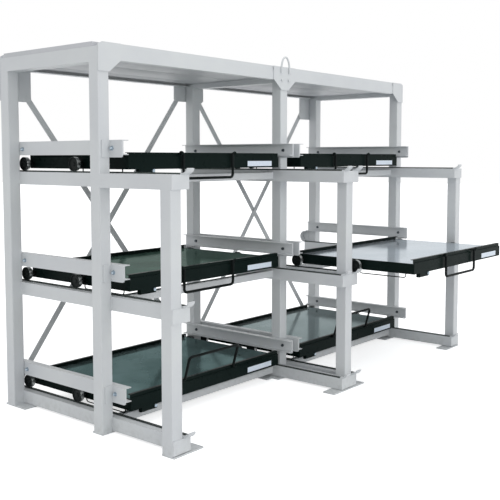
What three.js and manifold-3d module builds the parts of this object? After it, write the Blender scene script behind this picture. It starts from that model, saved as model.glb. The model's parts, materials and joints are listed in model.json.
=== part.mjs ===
// Sliding storage rack: welded side frames carry two bays of three wheeled decks, and each deck
// rolls out on rails that reach in front of the posts. Millimetres, +Z up, front towards -Y.
import * as THREE from 'three';
import { mergeVertices } from 'three/addons/utils/BufferGeometryUtils.js';
import Module from 'manifold-3d';

const wasm = await Module();
wasm.setup();

// Overall layout
const bayNames = ['left', 'right'];
const frameNames = ['left', 'centre', 'right'];
const levelCount = 3;
const bayClearWidth = 1500;
const levelPitch = 667;
const rackDepth = 890;
const extensionReach = 532;
const postHeight = 2090;
const postWidth = 75;
const firstRailHeight = 12;

// Clearances and joints between pieces
const seatGap = 0.3;
const weldDepth = 0.5;
const cutOverrun = 5;

// Rails with their track strip, end plates, stop hooks and rear guards
const railWidth = 50;
const railHeight = 75;
const trackWidth = 12;
const trackHeight = 8;
const tubeCorner = 5;
const endPlate = 8;
const railRearOverrun = 6;
const railSink = 7;
const coverSink = 3;
const edgeInset = 1;
const hookInset = 2;
const hookThickness = 9;
const hookGap = 1.3;
const hookFirstAngle = THREE.MathUtils.degToRad(202);
const hookLastAngle = THREE.MathUtils.degToRad(280);
const guardThickness = 6;
const guardSink = 3;
const guardTongue = 10;
const rearStopShare = 0.85;

// Wheel sets: two flanged wheels on one through axle
const wheelRadius = 39.7;
const wheelWidth = 28;
const wheelInset = 26;
const wheelRunningGap = 0.3;
const hubRadius = 12;
const hubRecess = 6;
const rimWall = 7;
const axleRadius = 10;
const collarRadius = 15;
const collarLength = 32.7;
const wheelSides = 12;

// Guide channels above the wheels, and the angles that hold them to the front posts
const guideClearance = 10.3;
const guideHeight = 80;
const guideDepth = 40;
const guideWall = 4.5;
const guideFrontOverhang = 105;
const bracketWall = 6;
const bracketFace = 58;
const bracketDrop = 13;
const bracketCorner = 10;

// Deck frames, sheets and handles
const deckFrontProud = 16;
const deckRestPull = 34;
const deckRearClear = 21;
const deckWall = 3.2;
const deckFlange = 38;
const deckSideHeight = 64;
const sideBelowAxle = 28;
const sheetThickness = 3;
const frontLipHeight = 26;
const frontFoldHeight = 5;
const frontStepBack = 7;
const rearLipHeight = 23;
const lipFlange = 20;
const middleAxleBack = 400;
const rearAxleInset = 14;
const crossMemberShares = [0.22, 0.5, 0.76];
const crossMemberWidth = 30;
const crossMemberHeight = 46;
const latchOffset = 80;
const latchWidth = 118;
const latchDepth = 28;
const latchHeight = 28;
const latchChamfer = 6;
const rodRadius = 3.5;
const rodInset = 20;
const rodFirst = 70;
const rodLength = 338;
const rodDrop = 27;
const rodCorner = 14;
const handleSpan = 434;
const handleOffset = -38;
const handleLeg = 147;
const handleBarRadius = 7;
const handleCorner = 22;
const pinCorner = 10;
const pinLength = 22;
const pivotStandOff = 16;
const pivotBelowLip = 2;
const lugWidth = 10;
const lugRadius = 11.5;
const raisedHandleAngle = THREE.MathUtils.degToRad(164);

// Front ties between the rails of one bay
const tieHeight = 48;
const tieDepth = 45;
const tieSetback = 25;
const tieRise = 14;

// Top rails, beams, gussets, lifting eyes and top decks
const topRailHeight = 80;
const beamDrop = 65;
const beamHeight = 63;
const beamFlange = 45;
const beamWall = 4;
const beamLipHeight = 26;
const beamLipSetback = 3;
const gussetThickness = 6;
const gussetDrop = 130;
const gussetWing = 82;
const gussetRise = 24;
const gussetChamferAcross = 29;
const gussetChamferDown = 14;
const rearGussetDrop = 247;
const rearGussetWing = 141;
const rearGussetChamfer = 16;
const rearCentreGussetDrop = 172;
const rearCentreGussetWing = 118;
const eyeBarRadius = 5;
const eyeHalfSpan = 43.5;
const eyeTopRise = 89;
const eyeLegDrop = 20;
const eyeSpringRise = 10;
const topDeckHeight = 25;
const topDeckSkin = 2.3;
const topPanelCount = 5;

// Cross braces behind the rear posts
const braceWidth = 38;
const braceThickness = 5;
const braceFootInset = 21;
const braceHeadInset = 12;
const braceFootHeight = 68;
const braceHeadDrop = 44;
const spacerRadius = 12;
const braceRearOffset = 13.2;

// Foot plates
const footThickness = 9;
const postSink = 4;
const footReach = 140;
const footFrontDepth = 84;
const footProud = 13;
const rearFootReach = 35;
const rearFootDepth = 190;
const noseReach = 85;
const noseDepth = 55;

// Places worked out from the sizes above
const framePitch = bayClearWidth + postWidth;
const rackWidth = framePitch * bayNames.length + postWidth;
const axleHeight = railHeight + trackHeight + wheelRunningGap + wheelRadius;
const guideBottom = axleHeight + wheelRadius + guideClearance;
const deckBottom = axleHeight - sideBelowAxle;
const sheetBottom = deckBottom + deckSideHeight;
const sheetTop = sheetBottom + sheetThickness;
const deckSideInset = wheelInset + wheelWidth + collarLength + seatGap;
const deckWidth = bayClearWidth - 2 * deckSideInset;
const deckDepth = rackDepth + deckFrontProud - deckRearClear;
const rearAxleBack = deckDepth - rearAxleInset;
const travel = extensionReach + middleAxleBack - deckFrontProud;
const railRear = rackDepth + railRearOverrun;
const beamBottom = postHeight - beamDrop;
const pivotHeight = sheetTop + frontLipHeight - pivotBelowLip;

// Paints and metals
const paint = { color: 0xd3d8dc, roughness: 0.45, metalness: 0.0 };
const blackPaint = { color: 0x1a2322, roughness: 0.4, metalness: 0.0 };
const sheetSteel = { color: 0xa6b6c0, roughness: 0.25, metalness: 0.6 };
const castIron = { color: 0x2b2f31, roughness: 0.5, metalness: 0.5 };
const blackBar = { color: 0x101413, roughness: 0.35, metalness: 0.2 };

const rack = new THREE.Group();

function outline(points) {
  return new THREE.Shape(points.map(([u, v]) => new THREE.Vector2(u, v)));
}

function roundedOutline(u0, u1, v0, v1, radius) {
  const shape = new THREE.Shape();
  shape.absarc(u1 - radius, v0 + radius, radius, -Math.PI / 2, 0, false);
  shape.absarc(u1 - radius, v1 - radius, radius, 0, Math.PI / 2, false);
  shape.absarc(u0 + radius, v1 - radius, radius, Math.PI / 2, Math.PI, false);
  shape.absarc(u0 + radius, v0 + radius, radius, Math.PI, 1.5 * Math.PI, false);
  return shape;
}

function arcBand(u, v, innerRadius, outerRadius, firstAngle, lastAngle) {
  const shape = new THREE.Shape();
  shape.absarc(u, v, outerRadius, firstAngle, lastAngle, false);
  shape.absarc(u, v, innerRadius, lastAngle, firstAngle, true);
  return shape;
}

// An outline in (x, y) raised from z0 to z1
function alongZ(shape, z0, z1, curveSegments = 2) {
  const geometry = new THREE.ExtrudeGeometry(shape, { depth: z1 - z0, bevelEnabled: false, curveSegments });
  return geometry.translate(0, 0, z0);
}

// An outline in (y, z) drawn out from x0 to x1
function alongX(shape, x0, x1, curveSegments = 2) {
  const axes = new THREE.Matrix4().makeBasis(
    new THREE.Vector3(0, 1, 0), new THREE.Vector3(0, 0, 1), new THREE.Vector3(1, 0, 0));
  return alongZ(shape, x0, x1, curveSegments).applyMatrix4(axes);
}

// An outline in (x, z) drawn out from y0 to y1
function alongY(shape, y0, y1, curveSegments = 2) {
  const axes = new THREE.Matrix4().makeBasis(
    new THREE.Vector3(1, 0, 0), new THREE.Vector3(0, 0, 1), new THREE.Vector3(0, -1, 0));
  return alongZ(shape, -y1, -y0, curveSegments).applyMatrix4(axes);
}

function solid(geometry) {
  const bare = geometry.clone();
  bare.deleteAttribute('normal');
  bare.deleteAttribute('uv');
  const merged = mergeVertices(bare);
  const vertProperties = new Float32Array(merged.attributes.position.array);
  const triVerts = new Uint32Array(merged.index.array);
  return new wasm.Manifold(new wasm.Mesh({ numProp: 3, vertProperties, triVerts }));
}

function geometryOf(body) {
  const mesh = body.getMesh();
  const geometry = new THREE.BufferGeometry();
  geometry.setAttribute('position', new THREE.BufferAttribute(new Float32Array(mesh.vertProperties), 3));
  geometry.setIndex(new THREE.BufferAttribute(new Uint32Array(mesh.triVerts), 1));
  geometry.computeVertexNormals();
  return geometry;
}

function weld(pieces, cuts = []) {
  let body = solid(pieces[0]);
  for (const piece of pieces.slice(1)) {
    body = body.add(solid(piece));
  }
  for (const cut of cuts) {
    body = body.subtract(solid(cut));
  }
  return geometryOf(body);
}

function place(parent, name, geometry, finish) {
  const mesh = new THREE.Mesh(geometry, new THREE.MeshStandardMaterial(finish));
  mesh.name = name;
  parent.add(mesh);
  return mesh;
}

// A bent round bar: its path steps from point to point, and each ring stands on the bisector
class BarPath extends THREE.Curve {
  constructor(points) {
    super();
    this.points = points;
  }

  getUtoTmapping(u) {
    return u;
  }

  getPoint(t, target = new THREE.Vector3()) {
    const step = Math.round(t * (this.points.length - 1));
    return target.copy(this.points[step]);
  }

  getTangent(t, target = new THREE.Vector3()) {
    const last = this.points.length - 1;
    const step = Math.round(t * last);
    const here = this.points[step];
    const arriving = here.clone().sub(this.points[Math.max(step - 1, 0)]).normalize();
    const leaving = this.points[Math.min(step + 1, last)].clone().sub(here).normalize();
    return target.copy(arriving).add(leaving).normalize();
  }
}

function roundCorners(corners, radii, cornerSteps = 4) {
  const points = [corners[0]];
  for (let index = 1; index < corners.length - 1; index += 1) {
    const corner = corners[index];
    const radius = radii[index - 1];
    const toBefore = corners[index - 1].clone().sub(corner).normalize();
    const toAfter = corners[index + 1].clone().sub(corner).normalize();
    const halfAngle = toBefore.angleTo(toAfter) / 2;
    const middle = toBefore.clone().add(toAfter).normalize();
    const centre = corner.clone().addScaledVector(middle, radius / Math.sin(halfAngle));
    const start = corner.clone().addScaledVector(toBefore, radius / Math.tan(halfAngle)).sub(centre);
    const end = corner.clone().addScaledVector(toAfter, radius / Math.tan(halfAngle)).sub(centre);
    const turnAxis = start.clone().cross(end).normalize();
    for (let step = 0; step <= cornerSteps; step += 1) {
      const turn = (start.angleTo(end) * step) / cornerSteps;
      points.push(start.clone().applyAxisAngle(turnAxis, turn).add(centre));
    }
  }
  points.push(corners[corners.length - 1]);
  return points;
}

function circleOutline(radius, sides) {
  const corners = [];
  for (let side = 0; side < sides; side += 1) {
    const angle = (2 * Math.PI * side) / sides;
    corners.push([radius * Math.cos(angle), radius * Math.sin(angle)]);
  }
  return outline(corners);
}

function bentBar(points, radius, sides = 8) {
  const options = { extrudePath: new BarPath(points), steps: points.length - 1, bevelEnabled: false };
  return new THREE.ExtrudeGeometry(circleOutline(radius, sides), options);
}

function frameLeft(frameIndex) {
  return frameIndex * framePitch;
}

function railBottom(level) {
  return firstRailHeight + (level - 1) * levelPitch;
}

// The bay side of a post: side +1 faces the bay on its right, side -1 the bay on its left
function baySides(frameIndex) {
  const sides = [];
  if (frameIndex > 0) {
    sides.push(-1);
  }
  if (frameIndex < bayNames.length) {
    sides.push(1);
  }
  return sides;
}

function bayFace(frameIndex, side) {
  return frameLeft(frameIndex) + (side > 0 ? postWidth : 0);
}

// The interval from near to far away from a post's bay face, as [lower, upper]
function fromFace(frameIndex, side, near, far) {
  const face = bayFace(frameIndex, side);
  return side > 0 ? [face + near, face + far] : [face - far, face - near];
}

// Side frame: posts, top rail and rails welded up from square and rectangular tube
function post(x, y, top) {
  const section = roundedOutline(x, x + postWidth, y, y + postWidth, tubeCorner);
  return alongZ(section, footThickness - postSink, top, 1);
}

function rails(frameIndex, side, level) {
  const base = railBottom(level);
  const [tubeLow, tubeHigh] = fromFace(frameIndex, side, -railSink, railWidth);
  const [hookLow, hookHigh] = fromFace(frameIndex, side, hookInset, railWidth - hookInset);
  const [stripLow, stripHigh] = fromFace(
    frameIndex, side, railWidth - edgeInset - trackWidth, railWidth - edgeInset);
  const top = base + railHeight;
  const tube = outline([[tubeLow, base], [tubeHigh, base], [tubeHigh, top], [tubeLow, top]]);
  const strip = outline([
    [stripLow, top - tubeCorner], [stripHigh, top - tubeCorner],
    [stripHigh, top + trackHeight], [stripLow, top + trackHeight]]);
  const hookInner = wheelRadius + hookGap;
  const hook = arcBand(
    -extensionReach, base + axleHeight, hookInner, hookInner + hookThickness, hookFirstAngle, hookLastAngle);
  const hookHeel = -extensionReach + hookInner * Math.cos(hookLastAngle) - hookThickness / 2;
  const pieces = [
    alongY(tube, -extensionReach, railRear),
    alongY(strip, hookHeel, railRear),
    alongX(hook, hookLow, hookHigh, 6)];
  pieces.push(level === 1 ? rearStop(hookLow, hookHigh, base) : rearGuard(hookLow, hookHigh, base));
  return pieces;
}

// The bottom level's braces pass close behind the rail, so its stop is a flat upright
function rearStop(low, high, base) {
  const top = base + railHeight + (guideBottom - railHeight) * rearStopShare;
  const plate = outline([
    [railRear - weldDepth, base + edgeInset], [railRear + guardThickness, base + edgeInset],
    [railRear + guardThickness, top], [railRear - weldDepth, top]]);
  return alongX(plate, low, high);
}

function rearGuard(low, high, base) {
  const top = base + guideBottom - seatGap;
  const bottom = base + railHeight - guardSink;
  const middle = (top + bottom) / 2;
  const radius = (top - bottom) / 2;
  const innerRadius = radius - guardThickness;
  const shape = new THREE.Shape();
  shape.moveTo(railRear - guardTongue, bottom);
  shape.absarc(railRear, middle, radius, -Math.PI / 2, Math.PI / 2, false);
  shape.lineTo(railRear - guardTongue, top);
  shape.lineTo(railRear - guardTongue, top - guardThickness);
  shape.absarc(railRear, middle, innerRadius, Math.PI / 2, -Math.PI / 2, true);
  shape.lineTo(railRear - guardTongue, bottom + guardThickness);
  return alongX(shape, low, high, 6);
}

function footPlate(frameIndex, reach, y0, y1) {
  const first = frameIndex > 0 ? frameLeft(frameIndex) - reach : frameLeft(frameIndex);
  const lastReach = frameIndex < bayNames.length ? reach : 0;
  const last = frameLeft(frameIndex) + postWidth + lastReach;
  return alongZ(outline([[first, y0], [last, y0], [last, y1], [first, y1]]), 0, footThickness);
}

function sideFrame(frameIndex) {
  const left = frameLeft(frameIndex);
  const right = left + postWidth;
  const topBase = railBottom(levelCount);
  const topRail = outline([
    [left, postHeight - topRailHeight], [right, postHeight - topRailHeight],
    [right, postHeight], [left, postHeight]]);
  const extensionTop = outline([
    [left, topBase], [right, topBase], [right, topBase + railHeight], [left, topBase + railHeight]]);
  const pieces = [
    post(left, 0, postHeight),
    post(left, rackDepth - postWidth, postHeight),
    post(left, -extensionReach, topBase + railHeight),
    alongY(topRail, postWidth / 2, rackDepth - postWidth / 2),
    alongY(extensionTop, -extensionReach + postWidth / 2, postWidth / 2),
    footPlate(frameIndex, footReach, -extensionReach - footProud, -extensionReach + postWidth),
    footPlate(frameIndex, footReach, 0, footFrontDepth),
    footPlate(frameIndex, rearFootReach, rackDepth + footProud - rearFootDepth, rackDepth + footProud)];
  const sides = baySides(frameIndex);
  for (let level = 1; level <= levelCount; level += 1) {
    for (const side of sides) {
      pieces.push(...rails(frameIndex, side, level));
    }
    const low = Math.min(left, ...sides.map((side) => fromFace(frameIndex, side, 0, railWidth)[0]));
    const high = Math.max(right, ...sides.map((side) => fromFace(frameIndex, side, 0, railWidth)[1]));
    const base = railBottom(level);
    const cover = outline([
      [low + edgeInset, base + edgeInset], [high - edgeInset, base + edgeInset],
      [high - edgeInset, base + railHeight - edgeInset], [low + edgeInset, base + railHeight - edgeInset]]);
    pieces.push(alongY(cover, -extensionReach - endPlate, -extensionReach + coverSink));
  }
  if (sides.length > 1) {
    const nose = outline([
      [left - noseReach, -noseDepth], [right + noseReach, -noseDepth],
      [right + noseReach, weldDepth], [left - noseReach, weldDepth]]);
    pieces.push(alongZ(nose, 0, footThickness));
  }
  return weld(pieces);
}

frameNames.forEach((name, frameIndex) => {
  place(rack, `side_frame_${name}`, sideFrame(frameIndex), paint);
});

// Guide channels: open towards the bay, with an angle that takes them round the post's front face
function guideChannel(frameIndex, side, base) {
  const bottom = base + guideBottom;
  const top = bottom + guideHeight;
  const face = bayFace(frameIndex, side);
  const across = (distance) => face + side * distance;
  const channel = outline([
    [across(seatGap), bottom], [across(guideDepth), bottom],
    [across(guideDepth), bottom + guideWall], [across(seatGap + guideWall), bottom + guideWall],
    [across(seatGap + guideWall), top - guideWall], [across(guideDepth), top - guideWall],
    [across(guideDepth), top], [across(seatGap), top]]);
  return alongY(channel, -guideFrontOverhang, rackDepth);
}

function bracketLeg(frameIndex, side, base) {
  const [low, high] = fromFace(frameIndex, side, -bracketWall, seatGap + weldDepth);
  const bottom = base + guideBottom - bracketDrop;
  const top = base + guideBottom + guideHeight;
  const shape = new THREE.Shape();
  shape.moveTo(-seatGap, top);
  shape.lineTo(-guideFrontOverhang, top);
  shape.absarc(
    -guideFrontOverhang + bracketCorner, bottom + bracketCorner, bracketCorner, Math.PI, 1.5 * Math.PI, false);
  shape.lineTo(-seatGap, bottom);
  return alongX(shape, low, high, 2);
}

function bracketFront(frameIndex, sides, base) {
  const ends = sides.map((side) => fromFace(frameIndex, side, -bracketFace, -bracketWall / 2));
  const low = Math.min(...ends.map((pair) => pair[0]));
  const high = Math.max(...ends.map((pair) => pair[1]));
  const bottom = base + guideBottom - bracketDrop;
  const top = base + guideBottom + guideHeight;
  const plate = outline([[low, bottom], [high, bottom], [high, top], [low, top]]);
  return alongY(plate, -seatGap - bracketWall, -seatGap);
}

function guide(frameIndex, level) {
  const base = railBottom(level);
  const sides = baySides(frameIndex);
  const pieces = [bracketFront(frameIndex, sides, base)];
  for (const side of sides) {
    pieces.push(bracketLeg(frameIndex, side, base));
    pieces.push(guideChannel(frameIndex, side, base));
  }
  return weld(pieces);
}

frameNames.forEach((name, frameIndex) => {
  for (let level = 1; level <= levelCount; level += 1) {
    place(rack, `guide_${name}_${level}`, guide(frameIndex, level), paint);
  }
});

// Beams across each bay at the top, front and rear, each with the gusset of its outer frame
const gussetTop = [
  [gussetChamferAcross, postHeight + gussetRise],
  [0, postHeight + gussetRise - gussetChamferDown]];
const outerGussets = {
  front: [
    [0, postHeight - gussetDrop],
    [postWidth, postHeight - gussetDrop],
    [postWidth + gussetWing, beamBottom],
    [postWidth + gussetWing, postHeight + gussetRise],
    ...gussetTop],
  rear: [
    [0, postHeight - rearGussetDrop],
    [postWidth + rearGussetWing - rearGussetChamfer, postHeight - rearGussetDrop],
    [postWidth + rearGussetWing, postHeight - rearGussetDrop + rearGussetChamfer],
    [postWidth + rearGussetWing, postHeight + gussetRise],
    ...gussetTop]};

// Depths are measured outwards from the posts' front or rear face
function facePlane(end, outward) {
  return end === 'front' ? -outward : rackDepth + outward;
}

function plate(shape, end, inner, outer, curveSegments = 2) {
  const planes = [facePlane(end, inner), facePlane(end, outer)];
  return alongY(shape, Math.min(...planes), Math.max(...planes), curveSegments);
}

function beamOutline(end) {
  const top = beamBottom + beamHeight;
  const lipTop = top + beamLipHeight;
  const webFront = seatGap + weldDepth;
  const profile = [
    [webFront, beamBottom], [webFront, top], [-beamLipSetback, top], [-beamLipSetback, lipTop],
    [-beamLipSetback - beamWall, lipTop], [-beamLipSetback - beamWall, top], [-beamFlange, top],
    [-beamFlange, top - beamWall], [webFront - beamWall, top - beamWall],
    [webFront - beamWall, beamBottom + beamWall], [-beamFlange, beamBottom + beamWall],
    [-beamFlange, beamBottom]];
  return outline(profile.map(([outward, height]) => [facePlane(end, outward), height]));
}

function beam(bayIndex, end) {
  const low = frameLeft(bayIndex) + postWidth + seatGap;
  const high = frameLeft(bayIndex + 1) - seatGap;
  const outerPoint = (x) => (bayIndex === 0 ? x : rackWidth - x);
  const gusset = outline(outerGussets[end].map(([x, z]) => [outerPoint(x), z]));
  return weld([
    alongX(beamOutline(end), low, high),
    plate(gusset, end, seatGap, seatGap + gussetThickness)]);
}

// The gusset of the centre frame laps both beams and carries the lifting eye
function centreGusset(end) {
  const middle = frameLeft(1) + postWidth / 2;
  const halfPost = postWidth / 2;
  const isFront = end === 'front';
  const halfWing = halfPost + (isFront ? gussetWing : rearCentreGussetWing);
  const halfFoot = isFront ? halfPost : halfWing - rearGussetChamfer;
  const foot = postHeight - (isFront ? gussetDrop : rearCentreGussetDrop);
  const wingFoot = isFront ? beamBottom : foot + rearGussetChamfer;
  const shape = outline([
    [middle - halfFoot, foot], [middle + halfFoot, foot],
    [middle + halfWing, wingFoot], [middle + halfWing, postHeight + gussetRise],
    [middle - halfWing, postHeight + gussetRise], [middle - halfWing, wingFoot]]);
  const inner = seatGap + weldDepth + seatGap;
  const outer = inner + gussetThickness;
  const eyePlane = facePlane(end, outer + eyeBarRadius - weldDepth);
  return weld([plate(shape, end, inner, outer), bentBar(eyePoints(middle, eyePlane), eyeBarRadius, 6)]);
}

function eyePoints(middle, y) {
  const springHeight = postHeight + eyeSpringRise;
  const rise = eyeTopRise - eyeSpringRise;
  const points = [new THREE.Vector3(middle + eyeHalfSpan, y, postHeight - eyeLegDrop)];
  const archSteps = 8;
  for (let step = 0; step <= archSteps; step += 1) {
    const angle = (Math.PI * step) / archSteps;
    const x = middle + eyeHalfSpan * Math.cos(angle);
    points.push(new THREE.Vector3(x, y, springHeight + rise * Math.sin(angle)));
  }
  points.push(new THREE.Vector3(middle - eyeHalfSpan, y, postHeight - eyeLegDrop));
  return points;
}

for (const end of ['front', 'rear']) {
  bayNames.forEach((name, bayIndex) => {
    place(rack, `${end}_beam_${name}`, beam(bayIndex, end), paint);
  });
  place(rack, `${end}_centre_gusset`, centreGusset(end), paint);
}

// Top deck of one bay: a tray between the beams, its underside pocketed to leave ribs along x
function topDeck(bayIndex) {
  const front = beamFlange + seatGap;
  const back = rackDepth - front;
  const bottom = postHeight + seatGap;
  const top = postHeight + topDeckHeight;
  const seam = rackWidth / 2;
  const low = bayIndex === 0 ? 0 : seam + seatGap;
  const high = bayIndex === 0 ? seam - seatGap : rackWidth;
  const tray = outline([[front, bottom], [back, bottom], [back, top], [front, top]]);
  const ribPitch = (back - front - topDeckSkin) / topPanelCount;
  const pockets = [];
  for (let panel = 0; panel < topPanelCount; panel += 1) {
    const start = front + topDeckSkin + panel * ribPitch;
    const end = front + (panel + 1) * ribPitch;
    const pocket = outline([
      [start, bottom - cutOverrun], [end, bottom - cutOverrun],
      [end, top - topDeckSkin], [start, top - topDeckSkin]]);
    pockets.push(alongX(pocket, low + topDeckSkin, high - topDeckSkin));
  }
  return weld([alongX(tray, low, high)], pockets);
}

bayNames.forEach((name, bayIndex) => {
  place(rack, `top_deck_${name}`, topDeck(bayIndex), paint);
});

// Flat-bar cross braces behind each bay, stood off so that they clear the rear guards and gussets
function brace(bayIndex, rising) {
  const leftFace = bayFace(bayIndex, 1);
  const rightFace = bayFace(bayIndex + 1, -1);
  const footX = rising ? leftFace - braceFootInset : rightFace + braceFootInset;
  const headX = rising ? rightFace + braceHeadInset : leftFace - braceHeadInset;
  const foot = new THREE.Vector2(footX, braceFootHeight);
  const head = new THREE.Vector2(headX, postHeight - braceHeadDrop);
  const along = head.clone().sub(foot);
  const length = along.length();
  const half = braceWidth / 2;
  const bar = new THREE.Shape();
  bar.absarc(0, 0, half, Math.PI / 2, 1.5 * Math.PI, false);
  bar.absarc(length, 0, half, -Math.PI / 2, Math.PI / 2, false);
  const inner = braceRearOffset + (rising ? 0 : braceThickness + seatGap);
  const turned = alongZ(bar, -rackDepth - inner - braceThickness, -rackDepth - inner, 4);
  turned.rotateZ(along.angle());
  turned.translate(foot.x, foot.y, 0);
  turned.applyMatrix4(new THREE.Matrix4().makeBasis(
    new THREE.Vector3(1, 0, 0), new THREE.Vector3(0, 0, 1), new THREE.Vector3(0, -1, 0)));
  const headFrame = rising ? bayIndex + 1 : bayIndex;
  const gussetFace = seatGap + gussetThickness + (headFrame === 1 ? weldDepth + seatGap : 0);
  const spacer = (point, start) => {
    const disc = circleOutline(spacerRadius, 8);
    const round = alongY(disc, rackDepth + start + seatGap, rackDepth + inner + weldDepth);
    return round.translate(point.x, 0, point.y);
  };
  return weld([turned, spacer(foot, 0), spacer(head, gussetFace)]);
}

bayNames.forEach((name, bayIndex) => {
  place(rack, `brace_rising_${name}`, brace(bayIndex, true), paint);
  place(rack, `brace_falling_${name}`, brace(bayIndex, false), paint);
});

// Front ties hold the rails of one bay apart
bayNames.forEach((name, bayIndex) => {
  const low = bayFace(bayIndex, 1) + railWidth + seatGap;
  const high = bayFace(bayIndex + 1, -1) - railWidth - seatGap;
  for (let level = 1; level <= levelCount; level += 1) {
    const base = railBottom(level) + tieRise;
    const section = roundedOutline(tieSetback, tieSetback + tieDepth, base, base + tieHeight, tubeCorner);
    place(rack, `front_tie_${name}_${level}`, alongX(section, low, high, 1), paint);
  }
});

// Deck frame in its own frame: x from its left side, y from its front face, z from the rail's bottom
function deckFrameGeometry() {
  const lipTop = sheetTop + frontLipHeight;
  const fold = sheetTop + frontFoldHeight;
  const rearTop = sheetTop + rearLipHeight;
  const floor = deckBottom;
  const front = outline([
    [0, floor], [deckFlange, floor], [deckFlange, floor + deckWall], [deckWall, floor + deckWall],
    [deckWall, fold - deckWall], [frontStepBack + deckWall, fold - deckWall],
    [frontStepBack + deckWall, lipTop - deckWall], [frontStepBack + lipFlange, lipTop - deckWall],
    [frontStepBack + lipFlange, lipTop], [frontStepBack, lipTop], [frontStepBack, fold], [0, fold]]);
  const backPoints = [
    [0, floor], [deckFlange, floor], [deckFlange, floor + deckWall], [deckWall, floor + deckWall],
    [deckWall, rearTop - deckWall], [lipFlange, rearTop - deckWall], [lipFlange, rearTop], [0, rearTop]];
  const back = outline(backPoints.map(([y, z]) => [deckDepth - y, z]));
  const sidePoints = [
    [0, floor], [deckFlange, floor], [deckFlange, floor + deckWall], [deckWall, floor + deckWall],
    [deckWall, sheetBottom - deckWall], [deckFlange, sheetBottom - deckWall],
    [deckFlange, sheetBottom], [deckWall, sheetBottom], [deckWall, sheetTop], [0, sheetTop]];
  const leftSide = outline(sidePoints);
  const rightSide = outline(sidePoints.map(([x, z]) => [deckWidth - x, z]));
  const sideStart = deckWall / 2;
  const pieces = [
    alongX(front, 0, deckWidth),
    alongX(back, 0, deckWidth),
    alongY(leftSide, sideStart, deckDepth - sideStart),
    alongY(rightSide, sideStart, deckDepth - sideStart),
    ...crossMemberShares.map(crossMember),
    latchTab(),
    guideRod(),
    ...[-1, 1].map(handleLug)];
  const bores = [middleAxleBack, rearAxleBack].map(axleBore);
  bores.push(...[-1, 1].map(lugBore));
  return weld(pieces, bores);
}

function crossMember(share) {
  const start = deckDepth * share;
  const bottom = sheetBottom - crossMemberHeight;
  const section = outline([
    [start, bottom], [start + crossMemberWidth, bottom],
    [start + crossMemberWidth, bottom + deckWall], [start + deckWall, bottom + deckWall],
    [start + deckWall, sheetBottom - deckWall], [start + crossMemberWidth, sheetBottom - deckWall],
    [start + crossMemberWidth, sheetBottom], [start, sheetBottom]]);
  return alongX(section, deckWall / 2, deckWidth - deckWall / 2);
}

function latchTab() {
  const bottom = deckBottom - latchHeight;
  const top = deckBottom + weldDepth;
  const section = outline([
    [0, top], [0, bottom + latchChamfer], [latchChamfer, bottom], [latchDepth, bottom], [latchDepth, top]]);
  return alongX(section, latchOffset, latchOffset + latchWidth);
}

function guideRod() {
  const top = deckBottom + weldDepth;
  const low = deckBottom - rodDrop;
  const corners = [
    new THREE.Vector3(rodInset, rodFirst, top),
    new THREE.Vector3(rodInset, rodFirst, low),
    new THREE.Vector3(rodInset, rodFirst + rodLength, low),
    new THREE.Vector3(rodInset, rodFirst + rodLength, top)];
  return bentBar(roundCorners(corners, [rodCorner, rodCorner], 2), rodRadius, 6);
}

function lugStart(side) {
  const middle = deckWidth / 2 + handleOffset;
  const start = handleSpan / 2 + pinLength - lugWidth;
  return side > 0 ? middle + start : middle - start - lugWidth;
}

function handleLug(side) {
  const shape = new THREE.Shape();
  const back = frontStepBack + weldDepth;
  shape.moveTo(back, pivotHeight + lugRadius);
  shape.absarc(-pivotStandOff, pivotHeight, lugRadius, Math.PI / 2, 1.5 * Math.PI, false);
  shape.lineTo(back, pivotHeight - lugRadius);
  return alongX(shape, lugStart(side), lugStart(side) + lugWidth, 5);
}

// A bore with few sides, whose flats stay clear of the bar inside it
function boreOutline(innerRadius, sides) {
  return circleOutline(innerRadius / Math.cos(Math.PI / sides), sides);
}

function lugBore(side) {
  const round = boreOutline(handleBarRadius + seatGap, 8);
  const bore = alongX(round, lugStart(side) - cutOverrun, lugStart(side) + lugWidth + cutOverrun);
  return bore.translate(0, -pivotStandOff, pivotHeight);
}

function axleBore(back) {
  const round = boreOutline(axleRadius + seatGap, 8);
  return alongX(round, -cutOverrun, deckWidth + cutOverrun).translate(0, back, axleHeight);
}

function deckSheetGeometry() {
  const edge = deckWall + seatGap;
  const frontEdge = frontStepBack + edge;
  const shape = outline([
    [edge, frontEdge], [deckWidth - edge, frontEdge],
    [deckWidth - edge, deckDepth - edge], [edge, deckDepth - edge]]);
  return alongZ(shape, sheetBottom, sheetTop);
}

// Wheel set turned about its axle: hub, dished wheel face, tread, collar and through axle
function wheelSetGeometry() {
  const outerEnd = deckWidth / 2 + seatGap + collarLength + wheelWidth;
  const half = [
    [0, outerEnd],
    [hubRadius, outerEnd],
    [wheelRadius - rimWall, outerEnd - hubRecess],
    [wheelRadius - rimWall, outerEnd],
    [wheelRadius, outerEnd],
    [wheelRadius, outerEnd - wheelWidth],
    [collarRadius, outerEnd - wheelWidth],
    [collarRadius, outerEnd - wheelWidth - collarLength],
    [axleRadius, outerEnd - wheelWidth - collarLength]];
  const mirrored = half.map(([radius, distance]) => [radius, -distance]);
  const profile = [...mirrored, ...half.slice().reverse()];
  const turned = new THREE.LatheGeometry(profile.map(([r, x]) => new THREE.Vector2(r, x)), wheelSides);
  return turned.applyMatrix4(new THREE.Matrix4().makeBasis(
    new THREE.Vector3(0, 0, 1), new THREE.Vector3(1, 0, 0), new THREE.Vector3(0, 1, 0)));
}

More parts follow.
